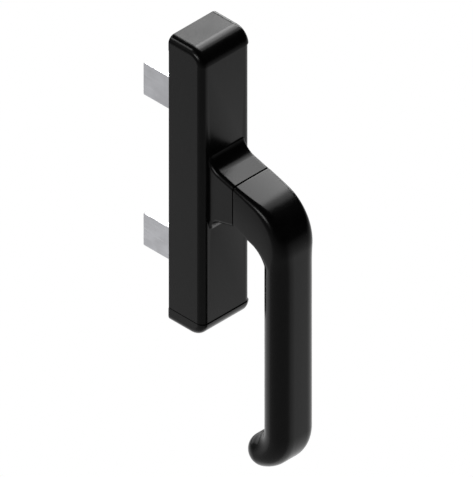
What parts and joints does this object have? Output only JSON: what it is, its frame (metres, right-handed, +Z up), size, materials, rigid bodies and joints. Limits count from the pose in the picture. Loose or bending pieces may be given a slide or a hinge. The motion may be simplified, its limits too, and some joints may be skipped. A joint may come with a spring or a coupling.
{
  "type": "window handle",
  "caption": "Cremone handle for a casement window: a slim housing with a hooked lever that drives a rack with prongs into the window's groove.",
  "frame": {"origin": "on the mounting face, at the lever's turning axis", "axes": "+Z up, +Y out of the mounting face into the window, +X to the right seen from the room"},
  "size_m": [0.0312, 0.0991, 0.2164],
  "materials": {
    "black_coating": "die-cast aluminium with a satin black powder coat",
    "black_plastic": "satin black moulded plastic",
    "zinc_plate": "dull zinc-plated steel",
    "steel": "plain machined steel",
    "bronze": "sintered bronze",
    "nylon": "black nylon"
  },
  "bodies": {
    "housing": {"housing": "black_coating", "top_end_cap": "black_plastic", "bottom_end_cap": "black_plastic", "back_plate": "zinc_plate", "back_plate_screws": "steel", "rear_bush": "bronze", "neck_bush": "nylon", "detent_spring_left": "steel", "detent_spring_right": "steel"},
    "handle": {"lever": "black_coating", "drive_spindle": "steel", "pinion": "steel", "pinion_screw": "steel", "thrust_washer": "steel", "circlip": "steel"},
    "slider": {"rack_slider": "zinc_plate", "upper_prong": "zinc_plate", "lower_prong": "zinc_plate", "prong_rivets": "steel", "upper_slide_shoe": "nylon", "lower_slide_shoe": "nylon"}
  },
  "joints": [
    {"name": "lever_turn", "type": "hinge", "parent": "housing", "child": "handle", "pos_m": [0, 0, 0], "axis": [0, -1, 0], "range_deg": [0, 90], "deforming": ["detent_spring_left", "detent_spring_right"]},
    {"name": "slide", "type": "slide", "parent": "housing", "child": "slider", "axis": [0, 0, 1], "range_m": [0, 0.0182]}
  ],
  "couplings": [
    {"joint": "slide", "follows": "lever_turn", "m_per_rad": 0.01155}
  ]
}
